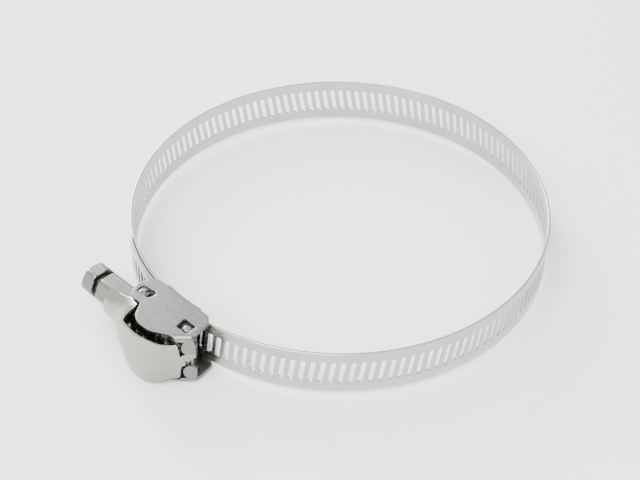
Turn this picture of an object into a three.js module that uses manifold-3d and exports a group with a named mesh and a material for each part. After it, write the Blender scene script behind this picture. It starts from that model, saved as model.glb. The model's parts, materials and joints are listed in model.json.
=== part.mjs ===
// Quick-release worm-drive hose clamp. Millimetres, +Z up.
// The band is a ring about a vertical axis. The housing sits at the front of the ring, on -Y,
// and the screw lies along X with its hexagon head pointing to -X.
// Lengths in the housing are given as "along" (+X) and "out" (-Y, away from the band's mean line).
import * as THREE from 'three';
import { mergeVertices } from 'three/addons/utils/BufferGeometryUtils.js';
import Module from 'manifold-3d';

// Band: one slotted strip, whose free end runs through the housing over the fixed end.
const BAND_RADIUS = 54.675;
const BAND_THICKNESS = 0.65;
const BAND_WIDTH = 12.7;
const FREE_LIFT = 0.425;
const FREE_RADIUS = BAND_RADIUS + FREE_LIFT;
const FAR_GAP = 0.3;
const FIXED_END_ALONG = -1.0;
const TAIL_LENGTH = 31.0;
const SLOT_PITCH = 2.38;
const SLOT_WIDTH = 1.2;
const SLOT_LENGTH = 6.6;
const SLOT_LEAN = THREE.MathUtils.degToRad(8.5);
const BLANK_END = 4.0;
const PITCHES_PER_FACET = 2;

// Screw: hexagon head, journal, right-hand worm and pilot on one axis.
const AXIS_OUT = 5.7;
const HEX_ACROSS_FLATS = 8.0;
const HEX_CORNER_RADIUS = 4.5;
const HEX_CHAMFER_RADIUS = 4.0;
const HEX_CHAMFER_LENGTH = 0.4;
const HEAD_FACE_RADIUS = 3.1;
const HEAD_ROUND_LENGTH = 1.0;
const HEAD_END = -28.3;
const GROOVE_FROM = -24.0;
const GROOVE_TO = -22.4;
const GROOVE_RADIUS = 3.1;
const HEX_TO = -11.4;
const JOURNAL_RADIUS = 3.0;
const WORM_FROM = -8.6;
const WORM_TO = 3.9;
const WORM_CORE_RADIUS = 3.8;
const WORM_CREST_RADIUS = 4.925;
const THREAD_FROM = -7.9;
const THREAD_TO = 3.5;
const CREST_HALF_WIDTH = 0.28;
const FLANK_SLOPE = 0.3;
const PILOT_RADIUS = 1.8;
const PILOT_TO = 6.8;
const END_CHAMFER = 0.3;
const TURNED_SEGMENTS = 20;
const THREAD_ROOT_DEPTH = 0.5;
const THREAD_START_HEIGHT = 0.25;
const THREAD_RISE_PER_TURN = 3.0;
const THREAD_STEPS_PER_TURN = 12;

// Saddle: a base under the band with two side cheeks, folded from one sheet.
const CHEEK_OUTER = 7.7;
const CHEEK_THICKNESS = 0.8;
const BASE_TOP = -0.6;
const BASE_THICKNESS = 0.7;
const BASE_HALF_LENGTH = 5.2;
const BASE_TONGUE_HALF_LENGTH = 7.6;
const BASE_TONGUE_HALF_WIDTH = 5.5;
const BEVEL_FROM = [9.4, 9.7];
const BEVEL_TO = [11.9, 7.2];
const BEVEL_DISTANCE = (BEVEL_FROM[0] + BEVEL_FROM[1]) / Math.SQRT2;

// Bridge: cover, worm carrier and pivot pin, which swing together off the band.
const PIVOT_ALONG = 8.2;
const PIVOT_OUT = 5.3;
const PIN_RADIUS = 1.1;
const PIN_HALF_LENGTH = 7.5;
const PIN_CLEARANCE = 0.15;
const COVER_THICKNESS = 0.6;
const KNUCKLE_RADIUS = PIN_RADIUS + PIN_CLEARANCE + COVER_THICKNESS;
const TONGUE_HALF_WIDTH = 1.7;
const UPRIGHT_SECTIONS_TO = 2.0;
const SQUARE_SECTIONS_FROM = 7.0;
const COVER_FACETS_PER_STATION = 2;
const COVER_FACETS_ACROSS = 6;
const ARM_OUTER = 6.5;
const ARM_EYE_RADIUS = 1.9;
const CARRIER_THICKNESS = 0.7;
const JOURNAL_WALL_FROM = -10.2;
const PILOT_WALL_FROM = 6.0;
const WALL_INNER_OUT = 1.4;
const JOURNAL_WALL_TOP = 7.6;
const PILOT_WALL_TOP = 5.7;
const JOURNAL_CLEARANCE = 0.2;
const LATCH_TOP = 6.8;

// The origin is the middle of the bounding box at the height of the lower cheek's outer face.
const COVER_CROWN_OUT = 15.9;
const RING_X = -FREE_LIFT / 2;
const RING_Y = (COVER_CROWN_OUT - BAND_THICKNESS / 2) / 2;
const RING_Z = CHEEK_OUTER;

const wasm = await Module();
wasm.setup();

const steel = (color, roughness) => new THREE.MeshStandardMaterial({ color, roughness, metalness: 1.0 });
const bandSteel = steel(0xdad8d4, 0.32);
const plateSteel = steel(0xb4b4b0, 0.42);
const coverSteel = steel(0xcfcac0, 0.25);
const screwSteel = steel(0xb9b9b4, 0.3);

function solidFrom(geometry) {
  const bare = geometry.clone();
  bare.deleteAttribute('normal');
  bare.deleteAttribute('uv');
  const merged = mergeVertices(bare, 1e-4);
  return new wasm.Manifold(new wasm.Mesh({
    numProp: 3,
    vertProperties: Float32Array.from(merged.attributes.position.array),
    triVerts: Uint32Array.from(merged.index.array),
  }));
}

function geometryFrom(solid) {
  const mesh = solid.getMesh();
  const geometry = new THREE.BufferGeometry();
  geometry.setAttribute('position', new THREE.BufferAttribute(mesh.vertProperties, 3));
  geometry.setIndex(new THREE.BufferAttribute(mesh.triVerts, 1));
  geometry.computeVertexNormals();
  return geometry;
}

const joined = (solids) => solids.reduce((whole, solid) => whole.add(solid));

function meshOf(name, solid, material) {
  const mesh = new THREE.Mesh(geometryFrom(solid), material);
  mesh.name = name;
  return mesh;
}

// A point of the housing's side view, in the XY plane of a group placed on the band's mean line.
const at = (along, out) => new THREE.Vector2(along, -out);

// A side-view outline as a plate between two heights.
function plate(shape, low, high) {
  const geometry = new THREE.ExtrudeGeometry(shape, {
    depth: high - low,
    bevelEnabled: false,
    curveSegments: 6,
  });
  geometry.translate(0, 0, low);
  return solidFrom(geometry);
}

const mirrored = (solid) => solid.mirror([0, 0, 1]);

// A solid turned about the screw's axis, from [along, radius] pairs.
function turned(profile) {
  const points = profile.map(([along, radius]) => new THREE.Vector2(radius, along));
  const geometry = new THREE.LatheGeometry(points, TURNED_SEGMENTS);
  geometry.rotateZ(-Math.PI / 2);
  return solidFrom(geometry);
}

// One arc of the band, from the far side of the ring round to the housing.
// side is -1 for the arc through -X and 1 for the arc through +X.
function bandArc(side, radius, centreY, sweepFrom, sweepTo) {
  const pitchAngle = SLOT_PITCH / radius;
  const facetAngle = pitchAngle * PITCHES_PER_FACET;
  const sweeps = [sweepFrom];
  for (let k = 1; k * facetAngle < sweepTo - facetAngle / 4; k += 1) {
    sweeps.push(k * facetAngle);
  }
  sweeps.push(sweepTo);
  const pointAt = (sweep, r) => new THREE.Vector2(side * r * Math.sin(sweep), centreY + r * Math.cos(sweep));
  const outer = sweeps.map((sweep) => pointAt(sweep, radius + BAND_THICKNESS / 2));
  const inner = sweeps.map((sweep) => pointAt(sweep, radius - BAND_THICKNESS / 2));
  const strip = plate(new THREE.Shape([...outer, ...inner.reverse()]), -BAND_WIDTH / 2, BAND_WIDTH / 2);
  const cutters = [];
  const lastSlot = sweepTo - BLANK_END / radius;
  for (let sweep = pitchAngle / 2; sweep < lastSlot; sweep += pitchAngle) {
    const cutter = new THREE.BoxGeometry(SLOT_WIDTH, BAND_THICKNESS * 4, SLOT_LENGTH);
    const lean = new THREE.Matrix4().makeShear(0, 0, 0, 0, Math.tan(SLOT_LEAN), 0);
    cutter.applyMatrix4(lean);
    cutter.rotateZ(Math.PI - side * sweep);
    const place = pointAt(sweep, radius);
    cutter.translate(place.x, place.y, 0);
    cutters.push(solidFrom(cutter));
  }
  return strip.subtract(joined(cutters));
}

function buildFixedBand() {
  const sweepTo = Math.PI - Math.asin(-FIXED_END_ALONG / BAND_RADIUS);
  const sweepFrom = FAR_GAP / 2 / BAND_RADIUS;
  return meshOf('band_fixed_half', bandArc(-1, BAND_RADIUS, 0, sweepFrom, sweepTo), bandSteel);
}

function buildFreeBand() {
  const sweepTo = Math.PI + TAIL_LENGTH / FREE_RADIUS;
  const sweepFrom = FAR_GAP / 2 / FREE_RADIUS;
  return meshOf('band_free_half', bandArc(1, FREE_RADIUS, -FREE_LIFT, sweepFrom, sweepTo), bandSteel);
}

// The saddle's side cheek. The curves are given as X and Y, which are along and minus out.
function cheekShape() {
  const shape = new THREE.Shape();
  shape.setFromPoints([at(-10.8, 6.5), at(-11.5, 3.8)]);
  shape.quadraticCurveTo(-11.2, -0.7, -8.8, 0.5);
  shape.lineTo(-6.4, 0.6);
  shape.lineTo(-5.2, 1.7);
  shape.quadraticCurveTo(0, 1.2, 5.2, 1.7);
  shape.lineTo(6.4, 0.8);
  shape.lineTo(8.4, 0.8);
  shape.quadraticCurveTo(11.0, -0.2, 11.3, -2.2);
  shape.lineTo(11.5, -5.0);
  shape.lineTo(...at(...BEVEL_TO));
  shape.lineTo(...at(...BEVEL_FROM));
  shape.quadraticCurveTo(6.6, -10.0, 5.0, -10.9);
  shape.quadraticCurveTo(0.5, -13.2, -3.2, -11.4);
  shape.quadraticCurveTo(-4.4, -10.6, -5.2, -9.2);
  shape.quadraticCurveTo(-6.0, -7.7, -7.4, -7.7);
  shape.quadraticCurveTo(-9.9, -7.8, -10.8, -6.5);
  shape.closePath();
  return shape;
}

// The cheek's windows: the latch window at the screw's side, and the pin's window.
const latchWindow = new THREE.Shape([
  at(-10.2, 4.0),
  at(-9.8, 3.4),
  at(-6.6, 2.9),
  at(-5.7, 3.3),
  at(-5.6, 4.2),
  at(-6.1, 5.4),
  at(-9.9, 5.8),
]);
const pivotWindow = new THREE.Shape([at(5.7, 3.8), at(9.55, 3.8), at(9.55, 6.8), at(6.2, 6.8)]);

// The flange bent down along the cheek's bevel, ending in a rounded tab beside the cover's tongue.
// Its outline is in the bevel's own plane: distance along the bevel, then height.
const flangeOutline = [
  [-0.2, 7.7],
  [-0.2, 6.6],
  [1.8, 6.6],
  [1.1, 5.3],
  [0.9, 3.9],
  [1.1, 2.8],
  [2.0, 2.05],
  [3.5, 2.05],
  [4.3, 2.8],
  [4.5, 4.2],
  [4.2, 5.6],
  [3.7, 6.6],
  [3.35, 7.7],
];

function bevelFlange() {
  const shape = new THREE.Shape(flangeOutline.map(([along, z]) => new THREE.Vector2(along, z)));
  const geometry = new THREE.ExtrudeGeometry(shape, { depth: CHEEK_THICKNESS, bevelEnabled: false });
  geometry.translate(0, 0, BEVEL_DISTANCE - CHEEK_THICKNESS);
  const alongBevel = new THREE.Vector3(1, 1, 0).normalize();
  const upward = new THREE.Vector3(0, 0, 1);
  const outward = new THREE.Vector3(1, -1, 0).normalize();
  geometry.applyMatrix4(new THREE.Matrix4().makeBasis(alongBevel, upward, outward));
  return solidFrom(geometry);
}

// The saddle's base, as an arc just inside the band.
function baseArc(halfLength, halfWidth) {
  const reach = halfLength / BAND_RADIUS;
  const steps = 4;
  const pointAt = (k, r) => {
    const angle = -reach + (2 * reach * k) / steps;
    return new THREE.Vector2(r * Math.sin(angle), BAND_RADIUS - r * Math.cos(angle));
  };
  const counts = [...Array(steps + 1).keys()];
  const top = counts.map((k) => pointAt(k, BAND_RADIUS + BASE_TOP));
  const under = counts.map((k) => pointAt(k, BAND_RADIUS + BASE_TOP - BASE_THICKNESS));
  return plate(new THREE.Shape([...top, ...under.reverse()]), -halfWidth, halfWidth);
}

function buildSaddle() {
  const inner = CHEEK_OUTER - CHEEK_THICKNESS;
  const windows = [latchWindow, pivotWindow].map((shape) => plate(shape, inner - 1, CHEEK_OUTER + 1));
  const cheek = plate(cheekShape(), inner, CHEEK_OUTER).subtract(joined(windows));
  const side = cheek.add(bevelFlange());
  const base = baseArc(BASE_HALF_LENGTH, inner + CHEEK_THICKNESS / 2);
  const tongue = baseArc(BASE_TONGUE_HALF_LENGTH, BASE_TONGUE_HALF_WIDTH);
  return meshOf('saddle', joined([side, mirrored(side), base, tongue]), plateSteel);
}

// Stations of the cover's crest line: along, out, half width and the radius of the cross-section.
function coverStations() {
  const strap = [
    [-17.5, 11.05, 4.6, 5.4],
    [-14.5, 11.05, 4.7, 5.4],
    [-12.0, 11.65, 5.4, 6.2],
    [-10.0, 12.6, 6.1, 6.45],
    [-8.0, 14.2, 6.85, 7.1],
    [-6.3, 15.05, 7.3, 7.55],
    [-4.2, 15.55, 7.3, 22.0],
    [-1.6, 15.83, 7.4, 26.0],
    [1.2, COVER_CROWN_OUT, 7.5, 30.0],
    [3.4, 15.6, 7.4, 30.0],
    [5.2, 14.7, 6.8, 30.0],
    [6.8, 13.3, 5.8, 30.0],
    [7.7, 12.0, 5.1, 30.0],
    [8.15, 10.8, 4.8, 30.0],
    [8.45, 10.1, TONGUE_HALF_WIDTH, 30.0],
    [8.9, 8.8, TONGUE_HALF_WIDTH, 30.0],
  ];
  const knuckle = [];
  for (let degrees = 62; degrees >= -118; degrees -= 30) {
    const angle = THREE.MathUtils.degToRad(degrees);
    const along = PIVOT_ALONG + KNUCKLE_RADIUS * Math.cos(angle);
    const out = PIVOT_OUT + KNUCKLE_RADIUS * Math.sin(angle);
    knuckle.push([along, out, TONGUE_HALF_WIDTH, 60.0]);
  }
  return [...strap, ...knuckle];
}

function buildCover() {
  const stations = coverStations();
  const crest = new THREE.SplineCurve(stations.map(([along, out]) => at(along, out)));
  const lengthwise = (stations.length - 1) * COVER_FACETS_PER_STATION;
  const geometry = new THREE.BoxGeometry(1, 1, 1, lengthwise, COVER_FACETS_ACROSS, 1);
  const position = geometry.attributes.position;
  for (let i = 0; i < position.count; i += 1) {
    const u = position.getX(i) + 0.5;
    const across = position.getY(i) * 2;
    const depth = (0.5 - position.getZ(i)) * COVER_THICKNESS;
    const point = crest.getPoint(u);
    const tangent = crest.getTangent(u);
    const square = THREE.MathUtils.smoothstep(point.x, UPRIGHT_SECTIONS_TO, SQUARE_SECTIONS_FROM);
    const outward = new THREE.Vector2(tangent.y * square, -tangent.x * square - 1 + square).normalize();
    const station = Math.min(Math.floor(u * (stations.length - 1)), stations.length - 2);
    const share = u * (stations.length - 1) - station;
    const half = THREE.MathUtils.lerp(stations[station][2], stations[station + 1][2], share);
    const radius = THREE.MathUtils.lerp(stations[station][3], stations[station + 1][3], share);
    const angle = across * Math.asin(half / radius);
    const rise = (radius - depth) * Math.cos(angle) - radius;
    const z = (radius - depth) * Math.sin(angle);
    position.setXYZ(i, point.x + outward.x * rise, point.y + outward.y * rise, z);
  }
  return meshOf('bridge_cover', solidFrom(geometry), coverSteel);
}

// The carrier's side arm, between a cheek and the worm, with a round eye for the pivot pin.
// It is low beside the eye, so that it passes inside the saddle's flanges as it swings.
function armShape() {
  const shape = new THREE.Shape();
  shape.setFromPoints([at(-10.2, 6.8), at(-10.2, WALL_INNER_OUT), at(6.2, WALL_INNER_OUT)]);
  shape.lineTo(PIVOT_ALONG, -PIVOT_OUT + ARM_EYE_RADIUS);
  shape.absarc(PIVOT_ALONG, -PIVOT_OUT, ARM_EYE_RADIUS, Math.PI / 2, -Math.PI, true);
  shape.lineTo(3.4, -PIVOT_OUT);
  shape.lineTo(3.4, -8.6);
  shape.lineTo(1.0, -9.4);
  shape.lineTo(-5.0, -8.6);
  shape.lineTo(-8.0, -7.4);
  shape.closePath();
  return shape;
}

// A round hole's cutter, along Z.
function roundCutter(along, out, radius, low, high) {
  const shape = new THREE.Shape();
  shape.absarc(along, -out, radius, 0, Math.PI * 2);
  return plate(shape, low, high);
}

// A cross wall of the carrier with a half-round seat for the screw, open on the outside.
function crossWall(along, seatRadius, outerOut) {
  const width = 2 * ARM_OUTER - CARRIER_THICKNESS;
  const height = outerOut - WALL_INNER_OUT;
  const wall = new THREE.BoxGeometry(CARRIER_THICKNESS, height, width);
  wall.translate(along + CARRIER_THICKNESS / 2, -(outerOut + WALL_INNER_OUT) / 2, 0);
  const seat = new THREE.CylinderGeometry(seatRadius, seatRadius, CARRIER_THICKNESS + 2, TURNED_SEGMENTS);
  seat.rotateZ(Math.PI / 2);
  seat.translate(along + CARRIER_THICKNESS / 2, -AXIS_OUT, 0);
  const mouth = new THREE.BoxGeometry(CARRIER_THICKNESS + 2, JOURNAL_WALL_TOP, 2 * seatRadius);
  mouth.translate(along + CARRIER_THICKNESS / 2, -AXIS_OUT - JOURNAL_WALL_TOP / 2, 0);
  return solidFrom(wall).subtract(solidFrom(seat)).subtract(solidFrom(mouth));
}

function buildCarrier() {
  const armInner = ARM_OUTER - CARRIER_THICKNESS;
  const pinHole = roundCutter(PIVOT_ALONG, PIVOT_OUT, PIN_RADIUS + PIN_CLEARANCE, armInner - 1, ARM_OUTER + 1);
  const arm = plate(armShape(), armInner, ARM_OUTER).subtract(pinHole);
  const latchOutline = [at(-9.7, 4.3), at(-8.7, 3.9), at(-8.0, 4.4), at(-8.0, 5.3), at(-9.5, 5.4)];
  const latch = plate(new THREE.Shape(latchOutline), ARM_OUTER - CARRIER_THICKNESS / 2, LATCH_TOP);
  const side = arm.add(latch);
  const journalWall = crossWall(JOURNAL_WALL_FROM, JOURNAL_RADIUS + JOURNAL_CLEARANCE, JOURNAL_WALL_TOP);
  const pilotWall = crossWall(PILOT_WALL_FROM, PILOT_RADIUS + JOURNAL_CLEARANCE, PILOT_WALL_TOP);
  return meshOf('worm_carrier', joined([side, mirrored(side), journalWall, pilotWall]), plateSteel);
}

function buildPin() {
  const profile = [
    new THREE.Vector2(0, -PIN_HALF_LENGTH),
    new THREE.Vector2(PIN_RADIUS - END_CHAMFER, -PIN_HALF_LENGTH),
    new THREE.Vector2(PIN_RADIUS, -PIN_HALF_LENGTH + END_CHAMFER),
    new THREE.Vector2(PIN_RADIUS, PIN_HALF_LENGTH - END_CHAMFER),
    new THREE.Vector2(PIN_RADIUS - END_CHAMFER, PIN_HALF_LENGTH),
    new THREE.Vector2(0, PIN_HALF_LENGTH),
  ];
  const geometry = new THREE.LatheGeometry(profile, TURNED_SEGMENTS);
  geometry.rotateX(Math.PI / 2);
  geometry.translate(PIVOT_ALONG, -PIVOT_OUT, 0);
  return meshOf('pivot_pin', solidFrom(geometry), screwSteel);
}

// The worm's thread: a trapezoid carried along a right-hand helix, in step with the band's slots.
function threadSolid() {
  const pitch = SLOT_PITCH * (FREE_RADIUS + BAND_THICKNESS / 4) / FREE_RADIUS;
  const turns = (THREAD_TO - THREAD_FROM) / pitch;
  const rootRadius = WORM_CORE_RADIUS - THREAD_ROOT_DEPTH;
  const rootHalfWidth = CREST_HALF_WIDTH + (WORM_CREST_RADIUS - rootRadius) * FLANK_SLOPE;
  const profile = new THREE.Shape([
    new THREE.Vector2(-rootHalfWidth, rootRadius),
    new THREE.Vector2(rootHalfWidth, rootRadius),
    new THREE.Vector2(CREST_HALF_WIDTH, WORM_CREST_RADIUS),
    new THREE.Vector2(-CREST_HALF_WIDTH, WORM_CREST_RADIUS),
  ]);
  const steps = Math.ceil(turns * THREAD_STEPS_PER_TURN);
  const geometry = new THREE.ExtrudeGeometry(profile, { depth: 1, steps, bevelEnabled: false });
  const pitchAngle = SLOT_PITCH / FREE_RADIUS;
  const slotSweep = (Math.floor(Math.PI / pitchAngle) + 0.5) * pitchAngle;
  const slotAlong = FREE_RADIUS * Math.sin(slotSweep);
  const startAngle = (2 * Math.PI * (THREAD_FROM - slotAlong)) / pitch;
  const position = geometry.attributes.position;
  for (let i = 0; i < position.count; i += 1) {
    const turn = position.getZ(i) * turns;
    const toNearestEnd = Math.min(turn, turns - turn);
    const fade = Math.min(1, THREAD_START_HEIGHT + toNearestEnd * THREAD_RISE_PER_TURN);
    const radius = rootRadius + (position.getY(i) - rootRadius) * fade;
    const angle = startAngle + turn * 2 * Math.PI;
    const along = THREAD_FROM + turn * pitch + position.getX(i);
    position.setXYZ(i, along, radius * Math.cos(angle), radius * Math.sin(angle));
  }
  return solidFrom(geometry);
}

function buildScrew() {
  const cornerRadius = HEX_ACROSS_FLATS / 2 / Math.cos(Math.PI / 6);
  const hexagon = new THREE.CylinderGeometry(cornerRadius, cornerRadius, HEX_TO - HEAD_END, 6);
  hexagon.rotateZ(-Math.PI / 2);
  hexagon.rotateX(Math.PI / 6);
  hexagon.translate((HEX_TO + HEAD_END) / 2, 0, 0);
  const envelope = turned([
    [HEAD_END, 0],
    [HEAD_END, HEAD_FACE_RADIUS],
    [HEAD_END + HEX_CHAMFER_LENGTH, HEX_CHAMFER_RADIUS],
    [HEAD_END + HEAD_ROUND_LENGTH, HEX_CORNER_RADIUS],
    [GROOVE_FROM - HEX_CHAMFER_LENGTH, HEX_CORNER_RADIUS],
    [GROOVE_FROM, HEX_CHAMFER_RADIUS],
    [GROOVE_FROM, GROOVE_RADIUS],
    [GROOVE_TO, GROOVE_RADIUS],
    [GROOVE_TO, HEX_CHAMFER_RADIUS],
    [GROOVE_TO + HEX_CHAMFER_LENGTH, HEX_CORNER_RADIUS],
    [HEX_TO - HEX_CHAMFER_LENGTH, HEX_CORNER_RADIUS],
    [HEX_TO, HEX_CHAMFER_RADIUS],
    [HEX_TO, 0],
  ]);
  const shaft = turned([
    [HEX_TO - 1, 0],
    [HEX_TO - 1, JOURNAL_RADIUS],
    [WORM_FROM, JOURNAL_RADIUS],
    [WORM_FROM, WORM_CORE_RADIUS],
    [WORM_TO, WORM_CORE_RADIUS],
    [WORM_TO, PILOT_RADIUS],
    [PILOT_TO - END_CHAMFER, PILOT_RADIUS],
    [PILOT_TO, PILOT_RADIUS - END_CHAMFER],
    [PILOT_TO, 0],
  ]);
  const solid = joined([solidFrom(hexagon).intersect(envelope), shaft, threadSolid()]);
  const mesh = meshOf('worm_screw', solid, screwSteel);
  mesh.position.y = -AXIS_OUT;
  return mesh;
}

const group = new THREE.Group();
group.position.set(RING_X, RING_Y, RING_Z);
group.add(buildFixedBand(), buildFreeBand());

const housing = new THREE.Group();
housing.position.y = -BAND_RADIUS;
housing.add(buildSaddle(), buildCover(), buildCarrier(), buildPin(), buildScrew());
group.add(housing);

export default group;
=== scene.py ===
"""Looks of a quick-release worm-drive hose clamp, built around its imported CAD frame.

Lengths are in millimetres and become metres where a mesh is made. In the housing, "along" is +X,
"out" is -Y from the band's mean line, and "up" is +Z from the band's middle height.
"""

import bisect
import json
import math

import bmesh
import bpy
from mathutils import Matrix, Vector
from mathutils.geometry import delaunay_2d_cdt


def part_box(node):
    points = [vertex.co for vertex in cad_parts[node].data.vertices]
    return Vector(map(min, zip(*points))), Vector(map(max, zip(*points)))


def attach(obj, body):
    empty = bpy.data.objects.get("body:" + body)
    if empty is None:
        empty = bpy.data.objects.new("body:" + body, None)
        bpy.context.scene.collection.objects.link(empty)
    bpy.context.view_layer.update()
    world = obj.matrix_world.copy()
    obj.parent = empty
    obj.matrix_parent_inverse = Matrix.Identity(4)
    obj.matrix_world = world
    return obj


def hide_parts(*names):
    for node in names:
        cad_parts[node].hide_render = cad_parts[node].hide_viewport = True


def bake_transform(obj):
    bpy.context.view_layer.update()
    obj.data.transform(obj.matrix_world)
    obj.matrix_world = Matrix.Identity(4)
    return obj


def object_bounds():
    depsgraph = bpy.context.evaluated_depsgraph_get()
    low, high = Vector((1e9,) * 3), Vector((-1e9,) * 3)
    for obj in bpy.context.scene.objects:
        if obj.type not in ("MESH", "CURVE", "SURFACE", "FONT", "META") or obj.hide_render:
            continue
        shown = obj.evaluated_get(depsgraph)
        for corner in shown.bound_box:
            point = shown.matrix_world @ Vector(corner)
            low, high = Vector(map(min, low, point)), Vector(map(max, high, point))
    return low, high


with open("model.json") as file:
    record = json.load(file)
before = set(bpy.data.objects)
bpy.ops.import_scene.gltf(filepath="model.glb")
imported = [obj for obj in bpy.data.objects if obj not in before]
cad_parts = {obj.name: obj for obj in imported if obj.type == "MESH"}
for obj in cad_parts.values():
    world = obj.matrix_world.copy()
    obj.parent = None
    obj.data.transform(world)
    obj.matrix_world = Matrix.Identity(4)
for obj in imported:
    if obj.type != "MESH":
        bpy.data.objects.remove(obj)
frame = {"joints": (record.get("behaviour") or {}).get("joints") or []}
cad_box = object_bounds()

MM = 0.001
joints = {joint["name"]: joint for joint in frame["joints"]}
far_hinge = Vector(joints["band_flex"]["pos_m"]) / MM
pivot_line = Vector(joints["bridge_swing"]["pos_m"]) / MM
screw_line = Vector(joints["screw_spin"]["pos_m"]) / MM

# Band.
BAND_RADIUS = 54.675
BAND_THICKNESS = 0.65
BAND_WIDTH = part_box("band_fixed_half")[1].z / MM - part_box("band_fixed_half")[0].z / MM
FREE_LIFT = 0.425
FREE_RADIUS = BAND_RADIUS + FREE_LIFT
SLOT_PITCH = 2.38
SLOT_HALF_WIDTH = 0.6
SLOT_HALF_LENGTH = 3.3
SLOT_CORNER = 0.4
SLOT_LEAN = math.tan(math.radians(8.5))
SLOT_EDGE = 0.08
RIM_ROUND = 0.2
SIDE_CELL = 36
FIXED_LAST_CELL = 69
FREE_LAST_CELL = 84
FIXED_END = BAND_RADIUS * (math.pi - math.asin(1.0 / BAND_RADIUS))
FREE_END = FREE_RADIUS * math.pi + 31.0

ring = far_hinge - Vector((0, BAND_RADIUS, 0))
PIVOT_ALONG = pivot_line.x - ring.x
PIVOT_OUT = ring.y - BAND_RADIUS - pivot_line.y
AXIS_OUT = ring.y - BAND_RADIUS - screw_line.y

# Saddle.
CHEEK_THICKNESS = 0.8
BEND_RADIUS = 0.85
CHEEK_MIDDLE = ring.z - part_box("saddle")[0].z / MM - CHEEK_THICKNESS / 2
BASE_MIDDLE = -0.95
FOLD_LINE = 11.96

# Bridge.
PIN_RADIUS = 1.1
COVER_THICKNESS = 0.6
CARRIER_THICKNESS = 0.7
ARM_MIDDLE = 6.15

# Screw.
HEX_HALF = 4.0
HEX_CORNER = 4.5
WORM_CORE = 3.8
WORM_CREST = 4.925
WORM_PITCH = SLOT_PITCH * (FREE_RADIUS + BAND_THICKNESS / 4) / FREE_RADIUS
THREAD_FROM = -7.9
THREAD_TO = 3.5


def housing_point(along, out, up):
    return Vector((ring.x + along, ring.y - BAND_RADIUS - out, ring.z + up))


# ---------------------------------------------------------------- camera, light and floor

VIEW_AZIMUTH = math.radians(44.6)
VIEW_ELEVATION = math.radians(41.617)
VIEW_ROLL = math.radians(0.436)
VIEW_DISTANCE = 342.27
VIEW_RIGHT = -5.19
VIEW_UP = -5.74
LENS = 72.09


def add_camera():
    sin_a, cos_a = math.sin(VIEW_AZIMUTH), math.cos(VIEW_AZIMUTH)
    sin_e, cos_e = math.sin(VIEW_ELEVATION), math.cos(VIEW_ELEVATION)
    back = Vector((sin_a * cos_e, -cos_a * cos_e, sin_e))
    right = Vector((cos_a, sin_a, 0))
    up = back.cross(right)
    place = ring + right * VIEW_RIGHT + up * VIEW_UP + back * VIEW_DISTANCE
    rolled_right = right * math.cos(VIEW_ROLL) + up * math.sin(VIEW_ROLL)
    rolled_up = up * math.cos(VIEW_ROLL) - right * math.sin(VIEW_ROLL)
    camera = bpy.data.objects.new("camera", bpy.data.cameras.new("camera"))
    bpy.context.scene.collection.objects.link(camera)
    turn = Matrix((rolled_right, rolled_up, back)).transposed().to_4x4()
    camera.matrix_world = Matrix.Translation(place * MM) @ turn
    camera.data.lens = LENS
    camera.data.sensor_width = 36
    camera.data.clip_start = 0.01
    bpy.context.scene.camera = camera


def add_softbox(name, place, aim, size, power):
    light = bpy.data.lights.new(name, "AREA")
    light.shape = "RECTANGLE"
    light.size, light.size_y = size
    light.energy = power
    holder = bpy.data.objects.new(name, light)
    bpy.context.scene.collection.objects.link(holder)
    holder.location = place
    holder.rotation_euler = (Vector(aim) - Vector(place)).to_track_quat("-Z", "Y").to_euler()


def add_studio():
    world = bpy.data.worlds.new("studio")
    bpy.context.scene.world = world
    world.use_nodes = True
    background = world.node_tree.nodes["Background"]
    background.inputs["Color"].default_value = (1.0, 1.0, 1.0, 1.0)
    background.inputs["Strength"].default_value = 1.8
    add_softbox("key", (0.1, -0.5, 0.8), (0, 0, 0), (0.6, 0.6), 14.0)
    add_softbox("rim", (-0.75, 0.2, 0.35), (-0.01, -0.06, 0), (0.25, 0.4), 10.0)


def add_floor():
    bpy.ops.mesh.primitive_circle_add(vertices=96, radius=4.0, fill_type="NGON", location=(0, 0, cad_box[0].z - 0.0002))
    floor = bpy.context.active_object
    floor.name = "floor"
    material = bpy.data.materials.new("floor")
    material.use_nodes = True
    shader = material.node_tree.nodes["Principled BSDF"]
    shader.inputs["Base Color"].default_value = (0.96, 0.96, 0.96, 1)
    shader.inputs["Roughness"].default_value = 0.8
    floor.data.materials.append(material)


# ---------------------------------------------------------------- materials

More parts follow.
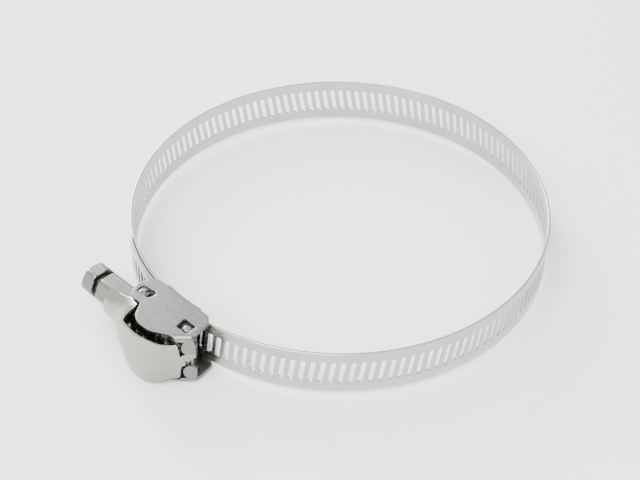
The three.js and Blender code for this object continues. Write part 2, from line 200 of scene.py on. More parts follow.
def steel(name, color, roughness, scale, stretch, bump, tint=0.16, around_ring=False, groove_shade_span=None):
    """Stainless steel with fine drawn lines: stretch is the noise's scale along the three axes.

    The optional span along X, in millimetres, gets painted shade: the steel is painted dark there as the shadow inside
    the screw's groove.
    """
    material = bpy.data.materials.new(name)
    material.use_nodes = True
    nodes, links = material.node_tree.nodes, material.node_tree.links
    shader = nodes["Principled BSDF"]
    shader.inputs["Metallic"].default_value = 1.0
    place = nodes.new("ShaderNodeTexCoord").outputs["Object"]
    if around_ring:
        place = ring_coordinates(nodes, links, place)
    lines = drawn_noise(nodes, links, place, scale, stretch, 4)
    clouds = drawn_noise(nodes, links, place, 140.0, (1, 1, 1), 5)

    shade = nodes.new("ShaderNodeMixRGB")
    shade.inputs["Color1"].default_value = (*[c * (1 - tint) for c in color], 1)
    shade.inputs["Color2"].default_value = (*[min(1, c * (1 + tint)) for c in color], 1)
    links.new(clouds, shade.inputs["Fac"])
    shown = worn(nodes, links, place, shade.outputs["Color"], color)
    # Painted shade over the given span along X, if one is given.
    if groove_shade_span:
        shown = painted_groove_shade(nodes, links, place, shown, groove_shade_span)
    links.new(shown, shader.inputs["Base Color"])

    gloss = nodes.new("ShaderNodeMapRange")
    gloss.inputs["From Min"].default_value = 0.3
    gloss.inputs["From Max"].default_value = 0.7
    gloss.inputs["To Min"].default_value = roughness * 0.8
    gloss.inputs["To Max"].default_value = roughness * 1.25
    links.new(lines, gloss.inputs["Value"])
    links.new(gloss.outputs["Result"], shader.inputs["Roughness"])

    relief = nodes.new("ShaderNodeBump")
    relief.inputs["Strength"].default_value = bump
    relief.inputs["Distance"].default_value = 0.00005
    links.new(lines, relief.inputs["Height"])
    links.new(relief.outputs["Normal"], shader.inputs["Normal"])
    return material


def worn(nodes, links, place, shown, color):
    """Faint handling marks: thin bright scratches over the tinted steel."""
    marks = drawn_noise(nodes, links, place, 260.0, (1.0, 0.25, 1.0), 8)
    span = nodes.new("ShaderNodeMapRange")
    span.inputs["From Min"].default_value = 0.56
    span.inputs["From Max"].default_value = 0.68
    span.inputs["To Max"].default_value = 0.2
    links.new(marks, span.inputs["Value"])
    mix = nodes.new("ShaderNodeMixRGB")
    mix.inputs["Color2"].default_value = (*[min(1, c * 1.35) for c in color], 1)
    links.new(span.outputs["Result"], mix.inputs["Fac"])
    links.new(shown, mix.inputs["Color1"])
    return mix.outputs["Color"]


def painted_groove_shade(nodes, links, place, shown, band):
    """The steel's colour with painted shade: dark between two places along X, standing in for the shadow inside the
    screw's groove.
    """
    parts = nodes.new("ShaderNodeSeparateXYZ")
    links.new(place, parts.inputs["Vector"])
    shift = nodes.new("ShaderNodeMath")
    shift.operation = "SUBTRACT"
    shift.inputs[1].default_value = (ring.x + (band[0] + band[1]) / 2) * MM
    links.new(parts.outputs["X"], shift.inputs[0])
    size = nodes.new("ShaderNodeMath")
    size.operation = "ABSOLUTE"
    links.new(shift.outputs["Value"], size.inputs[0])
    span = nodes.new("ShaderNodeMapRange")
    span.inputs["From Min"].default_value = (band[1] - band[0]) / 2 * MM
    span.inputs["From Max"].default_value = ((band[1] - band[0]) / 2 + 0.15) * MM
    span.inputs["To Min"].default_value = 1.0
    span.inputs["To Max"].default_value = 0.0
    links.new(size.outputs["Value"], span.inputs["Value"])
    # Painted shade: near-black colour standing in for the shadow in the groove.
    mix = nodes.new("ShaderNodeMixRGB")
    mix.inputs["Color2"].default_value = (0.09, 0.09, 0.086, 1)
    links.new(span.outputs["Result"], mix.inputs["Fac"])
    links.new(shown, mix.inputs["Color1"])
    return mix.outputs["Color"]


def drawn_noise(nodes, links, place, scale, stretch, detail):
    mapping = nodes.new("ShaderNodeMapping")
    mapping.inputs["Scale"].default_value = stretch
    links.new(place, mapping.inputs["Vector"])
    noise = nodes.new("ShaderNodeTexNoise")
    noise.inputs["Scale"].default_value = scale
    noise.inputs["Detail"].default_value = detail
    links.new(mapping.outputs["Vector"], noise.inputs["Vector"])
    return noise.outputs["Fac"]


def ring_coordinates(nodes, links, place):
    """Distance round the ring and height, in metres, as X and Z; Y is left at zero."""
    shift = nodes.new("ShaderNodeVectorMath")
    shift.operation = "SUBTRACT"
    shift.inputs[1].default_value = ring * MM
    links.new(place, shift.inputs[0])
    parts = nodes.new("ShaderNodeSeparateXYZ")
    links.new(shift.outputs["Vector"], parts.inputs["Vector"])
    angle = nodes.new("ShaderNodeMath")
    angle.operation = "ARCTAN2"
    links.new(parts.outputs["X"], angle.inputs[0])
    links.new(parts.outputs["Y"], angle.inputs[1])
    arc = nodes.new("ShaderNodeMath")
    arc.operation = "MULTIPLY"
    arc.inputs[1].default_value = BAND_RADIUS * MM
    links.new(angle.outputs["Value"], arc.inputs[0])
    joined = nodes.new("ShaderNodeCombineXYZ")
    links.new(arc.outputs["Value"], joined.inputs["X"])
    links.new(parts.outputs["Z"], joined.inputs["Z"])
    return joined.outputs["Vector"]


# ---------------------------------------------------------------- mesh helpers

def make_piece(name, points, faces, material, sharp_angle=34):
    """One closed mesh from points in millimetres, with outward faces and clean shading."""
    mesh = bpy.data.meshes.new(name)
    mesh.from_pydata([Vector(p) * MM for p in points], [], faces)
    shape = bmesh.new()
    shape.from_mesh(mesh)
    bmesh.ops.remove_doubles(shape, verts=shape.verts, dist=0.002 * MM)
    bmesh.ops.dissolve_degenerate(shape, edges=shape.edges, dist=0.001 * MM)
    bmesh.ops.recalc_face_normals(shape, faces=shape.faces)
    shape.to_mesh(mesh)
    shape.free()
    mesh.shade_smooth()
    mesh.set_sharp_from_angle(angle=math.radians(sharp_angle))
    mesh.materials.append(material)
    piece = bpy.data.objects.new(name, mesh)
    bpy.context.scene.collection.objects.link(piece)
    weighted = piece.modifiers.new("weighted_normals", "WEIGHTED_NORMAL")
    weighted.keep_sharp = True
    return piece


class Mesh:
    """Points and faces collected for one piece."""

    def __init__(self):
        self.points = []
        self.faces = []

    def add(self, points):
        first = len(self.points)
        self.points.extend(points)
        return list(range(first, first + len(points)))

    def bridge(self, ring_a, ring_b, closed=True):
        count = len(ring_a)
        for i in range(count if closed else count - 1):
            j = (i + 1) % count
            self.faces.append((ring_a[i], ring_a[j], ring_b[j], ring_b[i]))


def inside(point, loop):
    x, y = point
    result = False
    for (x0, y0), (x1, y1) in zip(loop, loop[1:] + loop[:1]):
        if (y0 > y) != (y1 > y) and x < (x1 - x0) * (y - y0) / (y1 - y0) + x0:
            result = not result
    return result


def loop_area(loop):
    return sum(x0 * y1 - x1 * y0 for (x0, y0), (x1, y1) in zip(loop, loop[1:] + loop[:1])) / 2


def subdivided(loop, step):
    fine = []
    for (x0, y0), (x1, y1) in zip(loop, loop[1:] + loop[:1]):
        parts = max(1, math.ceil(math.hypot(x1 - x0, y1 - y0) / step))
        fine.extend((x0 + (x1 - x0) * k / parts, y0 + (y1 - y0) * k / parts) for k in range(parts))
    return fine


def inward_directions(loop):
    """At each point of a loop, the direction into the material on its left."""
    directions = []
    count = len(loop)
    for i in range(count):
        before = Vector(loop[i]) - Vector(loop[i - 1])
        after = Vector(loop[(i + 1) % count]) - Vector(loop[i])
        normal_a = Vector((-before.y, before.x)).normalized()
        normal_b = Vector((-after.y, after.x)).normalized()
        total = normal_a + normal_b
        directions.append(total / max(0.6, 1 + normal_a.dot(normal_b)))
    return directions


def rounded(corners, radius, segments=5):
    """A closed outline with its corners rounded. A corner may carry its own radius as a third value."""
    outline = []
    count = len(corners)
    for i in range(count):
        corner = Vector(corners[i][:2])
        size = corners[i][2] if len(corners[i]) > 2 else radius
        before = Vector(corners[i - 1][:2]) - corner
        after = Vector(corners[(i + 1) % count][:2]) - corner
        turn = math.pi - before.angle(after)
        reach = min(size * math.tan(turn / 2), before.length * 0.49, after.length * 0.49)
        start = corner + before.normalized() * reach
        end = corner + after.normalized() * reach
        for k in range(segments + 1):
            t = k / segments
            point = start * (1 - t) ** 2 + corner * 2 * t * (1 - t) + end * t ** 2
            outline.append((point.x, point.y))
    return outline


def circle(centre, radius, segments=24):
    return [
        (centre[0] + radius * math.cos(math.tau * k / segments), centre[1] + radius * math.sin(math.tau * k / segments))
        for k in range(segments)
    ]


def add_sheet(mesh, outline, holes, place, thickness, columns, rows, extra=(), step=0.45, edge=0.12):
    """A stamped sheet: a flat outline with holes, carried into shape by place(a, b, depth).

    columns and rows are the flat coordinates of the inner points, close together where the sheet bends.
    """
    loops = [subdivided(loop, step) for loop in [outline, *holes]]
    for i, loop in enumerate(loops):
        if (loop_area(loop) > 0) != (i == 0):
            loop.reverse()
    border = [point for loop in loops for point in loop]
    clear = step * 0.7
    grid = [(a, b) for a in columns for b in rows] + list(extra)
    cells = {}
    for x, y in border:
        cells.setdefault((round(x / clear), round(y / clear)), []).append((x, y))

    def far_from_border(point):
        i, j = round(point[0] / clear), round(point[1] / clear)
        near = [p for di in (-1, 0, 1) for dj in (-1, 0, 1) for p in cells.get((i + di, j + dj), [])]
        return all(math.dist(point, p) > clear for p in near)

    def on_sheet(point):
        return inside(point, loops[0]) and not any(inside(point, hole) for hole in loops[1:])

    inner = [point for point in grid if far_from_border(point) and on_sheet(point)]
    edges = []
    first = 0
    for loop in loops:
        count = len(loop)
        edges.extend((first + i, first + (i + 1) % count) for i in range(count))
        first += count
    flat = [Vector(p) for p in border + inner]
    found = delaunay_2d_cdt(flat, edges, [], 0, 1e-5)
    spots, faces, origins = found[0], found[2], found[3]
    triangles = []
    for face in faces:
        centre = sum((spots[i] for i in face), Vector((0, 0))) / len(face)
        if on_sheet((centre.x, centre.y)):
            triangles.append([origins[i][0] for i in face])

    shifts = [d for loop in loops for d in inward_directions(loop)]

    def moved(i, inset):
        return flat[i] + shifts[i] * inset if i < len(border) else flat[i]

    half = thickness / 2
    front = mesh.add([place(*moved(i, edge), half) for i in range(len(flat))])
    back = mesh.add([place(*moved(i, edge), -half) for i in range(len(flat))])
    mesh.faces.extend(tuple(front[i] for i in t) for t in triangles)
    mesh.faces.extend(tuple(back[i] for i in reversed(t)) for t in triangles)
    profile = []
    for degrees in (30, 60, 90):
        angle = math.radians(degrees)
        profile.append((edge * (1 - math.sin(angle)), half - edge * (1 - math.cos(angle))))
    profile += [(inset, -depth) for inset, depth in reversed(profile)]
    first = 0
    for loop in loops:
        span = range(first, first + len(loop))
        rings = [[front[i] for i in span]]
        rings += [mesh.add([place(*moved(i, inset), depth) for i in span]) for inset, depth in profile]
        rings.append([back[i] for i in span])
        for ring_a, ring_b in zip(rings, rings[1:]):
            mesh.bridge(ring_a, ring_b)
        first += len(loop)


def spaced(low, high, step):
    count = max(1, round((high - low) / step))
    return [low + (high - low) * k / count for k in range(count + 1)]


def smooth_path(points, samples):
    """Catmull-Rom through rows of numbers, with the same number of samples on each span."""
    rows = [Vector(p) for p in points]
    rows = [rows[0] * 2 - rows[1], *rows, rows[-1] * 2 - rows[-2]]
    result = []
    for p0, p1, p2, p3 in zip(rows, rows[1:], rows[2:], rows[3:]):
        for k in range(samples):
            t = k / samples
            result.append(
                0.5 * (2 * p1 + (p2 - p0) * t + (2 * p0 - 5 * p1 + 4 * p2 - p3) * t * t
                       + (3 * p1 - p0 - 3 * p2 + p3) * t ** 3)
            )
    result.append(rows[-2])
    return result


# ---------------------------------------------------------------- band

def band_point(s, z, depth):
    """s is the distance from the far side of the ring, below zero through -X and above zero through +X."""
    s -= SLOT_LEAN * z * lean_share(s)
    if s <= 0:
        angle, radius, lift = -s / BAND_RADIUS, BAND_RADIUS + depth, 0.0
        x = -radius * math.sin(angle)
    else:
        angle, radius, lift = s / FREE_RADIUS, FREE_RADIUS + depth, FREE_LIFT
        x = radius * math.sin(angle)
    return Vector((ring.x + x, ring.y - lift + radius * math.cos(angle), ring.z + z))


def lean_share(s):
    """The strip's lines lean like its slots, except over the blank ends, which are cut square."""
    last = (FREE_END, FREE_LAST_CELL) if s > 0 else (FIXED_END, FIXED_LAST_CELL)
    blank = last[0] - last[1] * SLOT_PITCH
    return min(1.0, max(0.0, (last[0] - abs(s)) / blank))


HALF_PITCH = SLOT_PITCH / 2
SURFACE_HALF = BAND_WIDTH / 2 - RIM_ROUND
FRAME_HALF = SLOT_HALF_LENGTH + 0.5
FRAME_COLUMNS = [-HALF_PITCH, -0.8, -0.35, 0.35, 0.8, HALF_PITCH]
FRAME_ROWS = [-FRAME_HALF, -3.4, -2.9, 2.9, 3.4, FRAME_HALF]


def slot_outline(grow):
    """Five points round each corner of the slot, anticlockwise from the lower right."""
    radius = SLOT_CORNER
    width = SLOT_HALF_WIDTH - radius
    length = SLOT_HALF_LENGTH - radius
    outline = []
    for corner, (side, end) in enumerate([(1, -1), (1, 1), (-1, 1), (-1, -1)]):
        for k in range(5):
            angle = math.radians(-90 + 90 * corner + 22.5 * k)
            outline.append((
                side * width + (radius + grow) * math.cos(angle),
                end * length + (radius + grow) * math.sin(angle),
            ))
    return outline


def frame_outline():
    """The rectangle round a slot, with a point for each point of the slot's outline."""
    columns, rows = FRAME_COLUMNS, FRAME_ROWS
    right = [(columns[3], rows[0]), (columns[4], rows[0]), (columns[5], rows[0]), (columns[5], rows[1]),
             (columns[5], rows[2])]
    top = [(columns[5], rows[3]), (columns[5], rows[4]), (columns[5], rows[5]), (columns[4], rows[5]),
           (columns[3], rows[5])]
    left = [(-a, -b) for a, b in right]
    bottom = [(-a, -b) for a, b in top]
    return right + top + left + bottom


def rim_profile(side):
    """Height and depth from the strip's front over its rounded rim to its back."""
    half = BAND_THICKNESS / 2
    profile = [(FRAME_HALF, half), (SURFACE_HALF, half)]
    for degrees in (35, 70, 90):
        angle = math.radians(degrees)
        height = SURFACE_HALF + RIM_ROUND * math.sin(angle)
        profile.append((height, half - RIM_ROUND * (1 - math.cos(angle))))
    profile += [(height, -depth) for height, depth in reversed(profile)]
    return [(side * height, depth) for height, depth in profile]


def section_loop():
    """The strip's cross-section at a cell's edge, closed, as (height, depth)."""
    half = BAND_THICKNESS / 2
    inner_rows = FRAME_ROWS[1:-1]
    loop = [(z, half) for z in inner_rows]
    loop += rim_profile(1)
    loop += [(z, -half) for z in reversed(inner_rows)]
    loop += list(reversed(rim_profile(-1)))
    return loop


def add_cell(mesh, middle):
    """One pitch of the strip, with its slot."""
    half = BAND_THICKNESS / 2
    frame_loop, wide, exact = frame_outline(), slot_outline(SLOT_EDGE), slot_outline(0.0)
    layers = [(frame_loop, half), (wide, half), (exact, half - SLOT_EDGE), (exact, SLOT_EDGE - half),
              (wide, -half), (frame_loop, -half)]
    rings = [mesh.add([band_point(middle + a, z, depth) for a, z in loop]) for loop, depth in layers]
    for ring_a, ring_b in zip(rings, rings[1:]):
        mesh.bridge(ring_a, ring_b)
    for side in (-1, 1):
        strips = [mesh.add([band_point(middle + a, z, depth) for z, depth in rim_profile(side)])
                  for a in FRAME_COLUMNS]
        for strip_a, strip_b in zip(strips, strips[1:]):
            mesh.bridge(strip_a, strip_b, closed=False)


def add_blank(mesh, start, end, corner):
    """The strip's blank end, from a cell's edge to a cut whose corners are rounded."""
    direction = 1 if end > start else -1
    length = abs(end - start)
    reach = min(corner, length * 0.9)
    stations = [length - reach * (1 - math.sin(math.radians(a))) for a in range(0, 91, 15)] if corner else [length]
    stations = [0.0, *stations] if stations[0] > 0.01 else stations
    half_width = BAND_WIDTH / 2
    rings = []
    for station in stations:
        into = max(0.0, station - (length - reach)) if corner else 0.0
        shrink = (half_width - corner + math.sqrt(max(0.0, corner ** 2 - into ** 2))) / half_width
        s = start + direction * station
        rings.append(mesh.add([band_point(s, z * shrink, depth) for z, depth in section_loop()]))
    for ring_a, ring_b in zip(rings, rings[1:]):
        mesh.bridge(ring_a, ring_b)
    mesh.faces.append(tuple(rings[-1]))


def add_seam(mesh, s):
    mesh.faces.append(tuple(mesh.add([band_point(s, z, depth) for z, depth in section_loop()])))


def build_band(material):
    sides = {}
    far = Mesh()
    for cell in range(-SIDE_CELL, SIDE_CELL):
        add_cell(far, (cell + 0.5) * SLOT_PITCH)
    add_seam(far, -SIDE_CELL * SLOT_PITCH)
    add_seam(far, SIDE_CELL * SLOT_PITCH)
    sides["band_far_arc"] = far
    fixed = Mesh()
    for cell in range(SIDE_CELL, FIXED_LAST_CELL):
        add_cell(fixed, -(cell + 0.5) * SLOT_PITCH)
    add_seam(fixed, -SIDE_CELL * SLOT_PITCH)
    add_blank(fixed, -FIXED_LAST_CELL * SLOT_PITCH, -FIXED_END, 0.0)
    sides["band_fixed_side"] = fixed
    free = Mesh()
    for cell in range(SIDE_CELL, FREE_LAST_CELL):
        add_cell(free, (cell + 0.5) * SLOT_PITCH)
    add_seam(free, SIDE_CELL * SLOT_PITCH)
    add_blank(free, FREE_LAST_CELL * SLOT_PITCH, FREE_END, 3.0)
    sides["band_free_side"] = free
    pieces = {name: make_piece(name, m.points, m.faces, material) for name, m in sides.items()}
    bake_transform(pieces["band_far_arc"])
    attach(pieces["band_fixed_side"], "base")
    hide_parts("band_fixed_half")
    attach(pieces["band_free_side"], "free_band")
    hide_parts("band_free_half")


# ---------------------------------------------------------------- saddle

QUARTER_BEND = BEND_RADIUS * math.pi / 2
BASE_HALF_WIDTH = CHEEK_MIDDLE - BEND_RADIUS


def base_out(along):
    radius = BAND_RADIUS + BASE_MIDDLE
    return BASE_MIDDLE - radius + math.sqrt(radius ** 2 - along ** 2)


def cheek_flat(along, out):
    """Flat-pattern height of a point of the upper cheek."""
    return BASE_HALF_WIDTH + QUARTER_BEND + out - base_out(along) - BEND_RADIUS


def place_saddle(a, b, depth):
    side = 1 if b >= 0 else -1
    reach = abs(b)
    along = a
    middle = base_out(a)
    if reach <= BASE_HALF_WIDTH:
        tilt = a / BAND_RADIUS
        return housing_point(along - depth * tilt, middle - depth, b)
    if reach <= BASE_HALF_WIDTH + QUARTER_BEND:
        angle = (reach - BASE_HALF_WIDTH) / BEND_RADIUS
        radius = BEND_RADIUS + depth
        return housing_point(along, middle + BEND_RADIUS - radius * math.cos(angle),
                             side * (BASE_HALF_WIDTH + radius * math.sin(angle)))
    out = middle + BEND_RADIUS + reach - BASE_HALF_WIDTH - QUARTER_BEND
    over = (along + out) / math.sqrt(2) - FOLD_LINE
    if over <= 0:
        return housing_point(along, out, side * (CHEEK_MIDDLE + depth))
    step = 1 / math.sqrt(2)
    along, out = along - over * step, out - over * step
    angle = min(over, QUARTER_BEND) / BEND_RADIUS
    radius = BEND_RADIUS + depth
    push = radius * math.sin(angle)
    up = CHEEK_MIDDLE - BEND_RADIUS + radius * math.cos(angle) - max(0.0, over - QUARTER_BEND)
    return housing_point(along + push * step, out + push * step, side * up)


def fold_point(over, across):
    """A flap point by its distances past the fold line and along it, as (along, out)."""
    total, difference = (FOLD_LINE + over) * math.sqrt(2), across * math.sqrt(2)
    return (total + difference) / 2, (total - difference) / 2


def saddle_outline():
    """The blank: base with its end tongues, and both cheeks with their bevel flanges and ear-shaped tabs."""
    cheek = [
        (6.2, -0.7, 0.3), (9.0, -0.8, 1.2), (10.9, 0.8, 1.5), (11.35, 3.6, 3.0), (11.45, 5.4, 0.5),
        (*fold_point(0.0, 3.35), 0.3), (*fold_point(1.3, 3.6), 0.4), (*fold_point(2.6, 3.95), 0.8),
        (*fold_point(3.9, 4.1), 1.0), (*fold_point(5.2, 3.9), 0.9), (*fold_point(5.75, 3.1), 0.9),
        (*fold_point(5.75, 1.7), 0.9), (*fold_point(5.0, 0.9), 0.8), (*fold_point(3.9, 0.65), 1.0),
        (*fold_point(2.6, 0.9), 1.0), (*fold_point(1.7, 1.6), 0.35), (*fold_point(1.5, -0.3), 0.3),
        (*fold_point(0.5, -1.0), 0.8), (6.4, 10.15, 3.0), (4.9, 11.05, 4.0), (2.6, 12.4, 5.0), (-1.2, 12.6, 5.0),
        (-3.7, 11.5, 3.0), (-5.0, 9.4, 2.5), (-6.0, 7.75, 1.5), (-9.6, 7.8, 2.0), (-11.0, 6.2, 1.5),
        (-11.6, 3.8, 1.0), (-10.9, 1.0, 2.0), (-9.0, -0.6, 1.0), (-6.2, -0.6, 0.3),
    ]
    upper = [(a, cheek_flat(a, out), r) for a, out, r in cheek]
    notch = BASE_HALF_WIDTH + QUARTER_BEND * 0.25
    left = [(-5.4, notch, 0.2), (-5.4, 6.0, 0.2), (-7.6, 5.5, 1.2)]
    right = [(7.6, 5.5, 1.2), (5.4, 6.0, 0.2), (5.4, notch, 0.2)]
    top_half = right + upper + left
    bottom_half = [(a, -b, r) for a, b, r in reversed(top_half)]
    return rounded(top_half + bottom_half, 1.0)


def cheek_windows():
    latch = rounded([(-10.2, 4.0), (-9.8, 3.35), (-6.5, 2.85), (-5.6, 3.3), (-5.55, 4.3), (-6.1, 5.45), (-9.9, 5.8)],
                    0.4)
    pivot = rounded([(5.6, 3.75), (9.6, 3.75), (9.6, 6.85), (6.1, 6.85)], 0.4)
    windows = []
    for window in (latch, pivot):
        for side in (1, -1):
            windows.append([(a, side * cheek_flat(a, out)) for a, out in window])
    return windows


def build_saddle(material):
    bend = spaced(BASE_HALF_WIDTH, BASE_HALF_WIDTH + QUARTER_BEND, 0.22)
    flat = spaced(BASE_HALF_WIDTH + QUARTER_BEND, 24.0, 0.8)[1:]
    rows = spaced(-BASE_HALF_WIDTH, BASE_HALF_WIDTH, 0.8) + [side * b for side in (1, -1) for b in bend[1:] + flat]
    folds = []
    for side in (1, -1):
        for over in spaced(0.0, QUARTER_BEND, 0.2):
            for across in spaced(-1.4, 5.0, 0.4):
                along, out = fold_point(over, across)
                folds.append((along, side * cheek_flat(along, out)))
    mesh = Mesh()
    add_sheet(mesh, saddle_outline(), cheek_windows(), place_saddle, CHEEK_THICKNESS, spaced(-11, 16, 0.8), rows,
              extra=folds, step=0.35)
    piece = make_piece("saddle_folded", mesh.points, mesh.faces, material)
    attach(piece, "base")
    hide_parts("saddle")


# ---------------------------------------------------------------- bridge cover

PIN_CLEARANCE = 0.15
KNUCKLE_RADIUS = PIN_RADIUS + PIN_CLEARANCE + COVER_THICKNESS
TONGUE_HALF_WIDTH = 1.8
COVER_SAMPLES = 8
UPRIGHT_SECTIONS_TO = 2.0
SQUARE_SECTIONS_FROM = 7.0


def cover_stations():
    """Crest line and section of the cover: along, out, half width, half angle of the section in degrees."""
    strap = [
        (-17.5, 11.05, 4.8, 66), (-14.5, 11.05, 4.9, 68), (-12.0, 11.65, 5.45, 70), (-10.0, 12.6, 6.1, 80),
        (-8.0, 14.2, 6.75, 82), (-6.1, 15.1, 7.35, 78), (-5.5, 15.25, 7.5, 44), (-4.9, 15.4, 7.45, 20),
        (-4.2, 15.55, 7.4, 10), (-1.6, 15.83, 7.45, 7), (1.2, 15.9, 7.5, 6), (3.4, 15.6, 7.4, 7),
        (5.2, 14.8, 6.9, 8), (6.9, 13.4, 6.2, 8), (8.2, 11.8, 5.7, 8), (9.1, 10.6, 5.5, 8), (9.75, 9.85, 5.3, 8),
        (10.05, 9.35, TONGUE_HALF_WIDTH, 3), (10.25, 8.5, TONGUE_HALF_WIDTH, 3), (10.15, 7.3, TONGUE_HALF_WIDTH, 3),
    ]
    knuckle = []
    for degrees in range(20, -121, -28):
        angle = math.radians(degrees)
        knuckle.append((PIVOT_ALONG + KNUCKLE_RADIUS * math.cos(angle),
                        PIVOT_OUT + KNUCKLE_RADIUS * math.sin(angle), TONGUE_HALF_WIDTH, 2))
    return strap + knuckle


def section_radius(station):
    return station[2] / math.sin(math.radians(station[3]))


def build_cover(material):
    path = smooth_path(cover_stations(), COVER_SAMPLES)
    lengths = [0.0]
    for before, after in zip(path, path[1:]):
        lengths.append(lengths[-1] + math.dist(before[:2], after[:2]))
    slopes = []
    for i in range(len(path)):
        ahead = path[min(i + 1, len(path) - 1)] - path[max(i - 1, 0)]
        slopes.append(Vector(ahead[:2]).normalized())

    def place(s, q, depth):
        """A point of the shell. Sections stand upright over the worm and turn square to the crest at the tongue."""
        s = min(max(s, 0.0), lengths[-1])
        i = min(bisect.bisect_right(lengths, s), len(path) - 1) - 1
        share = (s - lengths[i]) / (lengths[i + 1] - lengths[i])
        here = path[i].lerp(path[i + 1], share)
        tangent = slopes[i].lerp(slopes[i + 1], share).normalized()
        reach = min(1.0, max(0.0, (here[0] - UPRIGHT_SECTIONS_TO) / (SQUARE_SECTIONS_FROM - UPRIGHT_SECTIONS_TO)))
        square = reach * reach * (3 - 2 * reach)
        outward = Vector((-tangent.y * square, tangent.x * square + 1 - square)).normalized()
        radius = section_radius(here)
        angle = q / radius
        rise = (radius + depth) * math.cos(angle) - radius - COVER_THICKNESS / 2
        return housing_point(here[0] + outward.x * rise, here[1] + outward.y * rise,
                             (radius + depth) * math.sin(angle))

    half_lengths = [section_radius(station) * math.radians(station[3]) for station in path]
    edge_line = [(lengths[k], half_lengths[k]) for k in range(0, len(path), 2)]
    outline = edge_line + [(s, -half) for s, half in reversed(edge_line)]
    mesh = Mesh()
    add_sheet(mesh, outline, [], place, COVER_THICKNESS, spaced(0, lengths[-1], 0.4), spaced(-11, 11, 0.5),
              step=0.35, edge=0.15)
    piece = make_piece("cover_shell", mesh.points, mesh.faces, material)
    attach(piece, "bridge")
    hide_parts("bridge_cover")


# ---------------------------------------------------------------- worm carrier and pin

CARRIER_BEND = 0.8
WALL_ALONG = -9.85


def build_carrier(material):
    """Two arms joined by the journal wall in one U-shaped sheet, and the pilot wall."""
    wall_half = ARM_MIDDLE - CARRIER_BEND
    quarter = CARRIER_BEND * math.pi / 2
    arm_start = wall_half + quarter

    def place(a, b, depth):
        side = 1 if a >= 0 else -1
        reach = abs(a)
        if reach <= wall_half:
            return housing_point(WALL_ALONG - depth, b, a)
        if reach <= arm_start:
            angle = (reach - wall_half) / CARRIER_BEND
            radius = CARRIER_BEND + depth
            return housing_point(WALL_ALONG + CARRIER_BEND - radius * math.cos(angle), b,
                                 side * (wall_half + radius * math.sin(angle)))
        return housing_point(WALL_ALONG + CARRIER_BEND + reach - arm_start, b, side * (ARM_MIDDLE + depth))

    def flat(along):
        return along - WALL_ALONG - CARRIER_BEND + arm_start

    eye = []
    for degrees in range(-90, 181, 15):
        angle = math.radians(degrees)
        eye.append((flat(PIVOT_ALONG + 1.9 * math.cos(angle)), PIVOT_OUT + 1.9 * math.sin(angle), 0.01))
    arm = [(flat(6.2), 1.4, 0.6), *eye, (flat(3.4), PIVOT_OUT, 0.4), (flat(3.4), 8.6, 0.6), (flat(1.0), 9.4, 2.0),
           (flat(-5.0), 8.6, 2.0), (flat(-8.0), 7.4, 1.0)]
    wall = [(wall_half, 7.4, 0.6), (4.2, 7.6, 0.5), (3.2, 7.2, 0.4)]
    seat = [(3.2 * math.cos(math.radians(a)), AXIS_OUT + 3.2 * math.sin(math.radians(a)), 0.01)
            for a in range(0, -91, -15)]
    right_half = arm + wall + seat
    left_half = [(-a, b, r) for a, b, r in reversed(right_half[:-1])]
    outline = rounded(right_half + left_half, 0.5, 3)
    holes = [circle((side * flat(PIVOT_ALONG), PIVOT_OUT), PIN_RADIUS + PIN_CLEARANCE) for side in (1, -1)]
    for side in (1, -1):
        holes.append([(side * flat(a), b) for a, b in
                      rounded([(-7.7, 3.0), (-5.2, 2.8), (-5.4, 5.6), (-7.7, 5.6)], 0.4, 3)])
    columns = spaced(-wall_half, wall_half, 0.8)
    for side in (1, -1):
        columns += [side * a for a in spaced(wall_half, arm_start, 0.25)[1:] + spaced(arm_start, flat(11), 0.8)[1:]]
    mesh = Mesh()
    add_sheet(mesh, outline, holes, place, CARRIER_THICKNESS, columns, spaced(1.4, 9.4, 0.8))

    pilot_half = ARM_MIDDLE - CARRIER_THICKNESS / 2
    cup = [(2.0 * math.cos(math.radians(a)), AXIS_OUT + 2.0 * math.sin(math.radians(a)), 0.01)
           for a in range(180, 361, 15)]
    pilot_outline = rounded([(pilot_half, AXIS_OUT, 0.3), (pilot_half, 1.4, 0.01), (-pilot_half, 1.4, 0.01),
                             (-pilot_half, AXIS_OUT, 0.3), *cup], 0.3, 3)
    add_sheet(mesh, pilot_outline, [], lambda a, b, depth: housing_point(6.35 + depth, b, a), CARRIER_THICKNESS,
              spaced(-7, 7, 0.9), spaced(1.4, 5.7, 0.9))

    lug = rounded([(-9.7, 4.3), (-8.7, 3.9), (-8.0, 4.4), (-8.0, 5.3), (-9.5, 5.4)], 0.3, 3)
    for side in (1, -1):
        add_sheet(mesh, lug, [], lambda a, b, depth, side=side: housing_point(a, b, side * (6.5 + depth)), 0.6,
                  spaced(-9.5, -8, 0.6), spaced(4, 5.4, 0.6), edge=0.2)
    piece = make_piece("carrier_folded", mesh.points, mesh.faces, material)
    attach(piece, "bridge")
    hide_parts("worm_carrier")


def turned_field(mesh, stations, segments, radius_at, centre):
    """A solid about an X or Z line: radius_at(station, angle) gives each point's distance from the line."""
    rings = []
    for station in stations:
        angles = [math.tau * k / segments for k in range(segments)]
        rings.append(mesh.add([centre(station, angle, radius_at(station, angle)) for angle in angles]))
    for ring_a, ring_b in zip(rings, rings[1:]):
        mesh.bridge(ring_a, ring_b)
    mesh.faces.append(tuple(reversed(rings[0])))
    mesh.faces.append(tuple(rings[-1]))


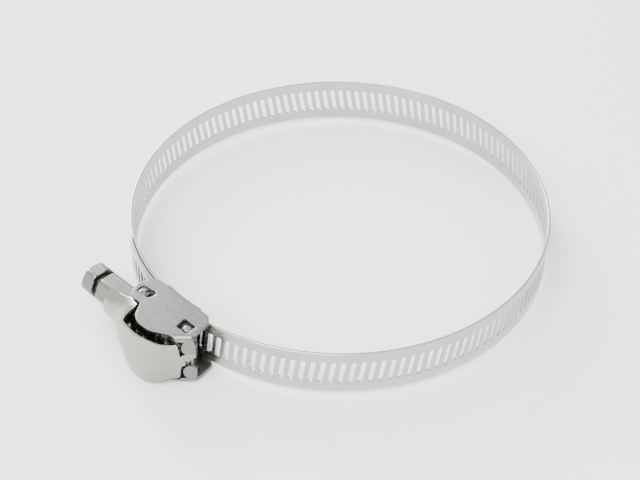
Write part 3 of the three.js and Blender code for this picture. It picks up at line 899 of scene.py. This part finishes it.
def build_pin(material):
    half = 7.5
    profile = [(-half, 0.5), (-half + 0.04, 0.72), (-half + 0.12, 0.9), (-half + 0.25, 1.03), (-half + 0.42, PIN_RADIUS)]
    profile += [(-z, r) for z, r in reversed(profile)]
    radii = dict(profile)

    def centre(z, angle, radius):
        return housing_point(PIVOT_ALONG + radius * math.cos(angle), PIVOT_OUT + radius * math.sin(angle), z)

    mesh = Mesh()
    turned_field(mesh, [z for z, _ in profile], 40, lambda z, angle: radii[z], centre)
    piece = make_piece("pin_turned", mesh.points, mesh.faces, material)
    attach(piece, "bridge")
    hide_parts("pivot_pin")


# ---------------------------------------------------------------- worm screw

HEAD_END = -28.3
GROOVE = (-24.0, -22.4)
HEX_TO = -11.4
WORM_FROM = -8.6
WORM_TO = 3.9
PILOT_TO = 6.8
SCREW_PROFILE = [
    (HEAD_END, 0.0), (HEAD_END, 2.9), (HEAD_END + 0.08, 3.25), (HEAD_END + 0.3, 3.8), (HEAD_END + 0.65, 4.25),
    (HEAD_END + 1.1, 4.7), (GROOVE[0] - 0.55, 4.7), (GROOVE[0] - 0.2, 4.25), (GROOVE[0], 3.8),
    (GROOVE[0] + 0.1, 3.1), (GROOVE[1] - 0.1, 3.1), (GROOVE[1], 3.8), (GROOVE[1] + 0.2, 4.25),
    (GROOVE[1] + 0.55, 4.7), (HEX_TO - 0.5, 4.7), (HEX_TO - 0.1, 4.2), (HEX_TO, 4.0), (HEX_TO + 0.02, 3.2),
    (HEX_TO + 0.2, 3.0), (WORM_FROM - 0.1, 3.0), (WORM_FROM, 3.1), (WORM_FROM + 0.02, 3.6),
    (WORM_FROM + 0.15, WORM_CORE), (WORM_TO - 0.15, WORM_CORE), (WORM_TO - 0.02, 3.65), (WORM_TO, 3.5),
    (WORM_TO + 0.02, 2.0), (WORM_TO + 0.2, 1.8), (PILOT_TO - 0.35, 1.8), (PILOT_TO - 0.05, 1.5), (PILOT_TO, 1.3),
    (PILOT_TO, 0.0),
]


def thread_rise(along, angle):
    """Height of the right-hand thread above the core. Angle 0 faces the band."""
    pitch_angle = SLOT_PITCH / FREE_RADIUS
    slot_sweep = (math.floor(math.pi / pitch_angle) + 0.5) * pitch_angle
    slot_along = FREE_RADIUS * math.sin(slot_sweep)
    phase = (along - slot_along) / WORM_PITCH - angle / math.tau
    offset = abs(phase - round(phase)) * WORM_PITCH
    height = WORM_CREST - WORM_CORE
    crest, foot = 0.28, 0.28 + height * 0.3
    rise = height * min(1.0, max(0.0, (foot - offset) / (foot - crest)))
    fade = min(1.0, (along - THREAD_FROM + 0.6) / 1.0, (THREAD_TO + 0.5 - along) / 0.8)
    return rise * max(0.0, fade)


def build_screw(material):
    stations = []
    for (x0, r0), (x1, r1) in zip(SCREW_PROFILE, SCREW_PROFILE[1:]):
        thread = WORM_FROM + 0.1 <= x0 and x1 <= WORM_TO - 0.1
        step = 0.09 if thread else 1.5
        parts = max(1, math.ceil((x1 - x0) / step))
        stations.extend((x0 + (x1 - x0) * k / parts, r0 + (r1 - r0) * k / parts) for k in range(parts))
    stations.append(SCREW_PROFILE[-1])
    sixth = math.pi / 3

    def radius_at(station, angle):
        x, turned = station
        if x < HEX_TO + 0.01:
            flat = HEX_HALF / math.cos(angle % sixth - sixth / 2)
            return min(turned, flat, HEX_CORNER)
        return turned + (thread_rise(x, angle) if turned > 3.7 else 0.0)

    def centre(station, angle, radius):
        return housing_point(station[0], AXIS_OUT - radius * math.cos(angle), radius * math.sin(angle))

    mesh = Mesh()
    turned_field(mesh, stations, 96, radius_at, centre)
    piece = make_piece("screw_turned", mesh.points, mesh.faces, material, sharp_angle=24)
    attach(piece, "screw")
    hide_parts("worm_screw")


# ---------------------------------------------------------------- assembly

add_camera()
add_studio()
add_floor()
band_steel = steel("band_steel", (0.46, 0.45, 0.43), 0.26, 900.0, (0.06, 1, 1), 0.25, around_ring=True)
plate_steel = steel("plate_steel", (0.21, 0.21, 0.205), 0.36, 1200.0, (1, 1, 1), 0.3)
cover_steel = steel("cover_steel", (0.33, 0.315, 0.28), 0.26, 900.0, (0.4, 1, 1), 0.2)
# The screw's groove span is painted dark as shade, not given a real dark finish.
screw_steel = steel("screw_steel", (0.23, 0.23, 0.215), 0.28, 900.0, (0.3, 1, 1), 0.15,
                    groove_shade_span=GROOVE)
build_band(band_steel)
build_saddle(plate_steel)
build_cover(cover_steel)
build_carrier(plate_steel)
build_pin(screw_steel)
build_screw(screw_steel)
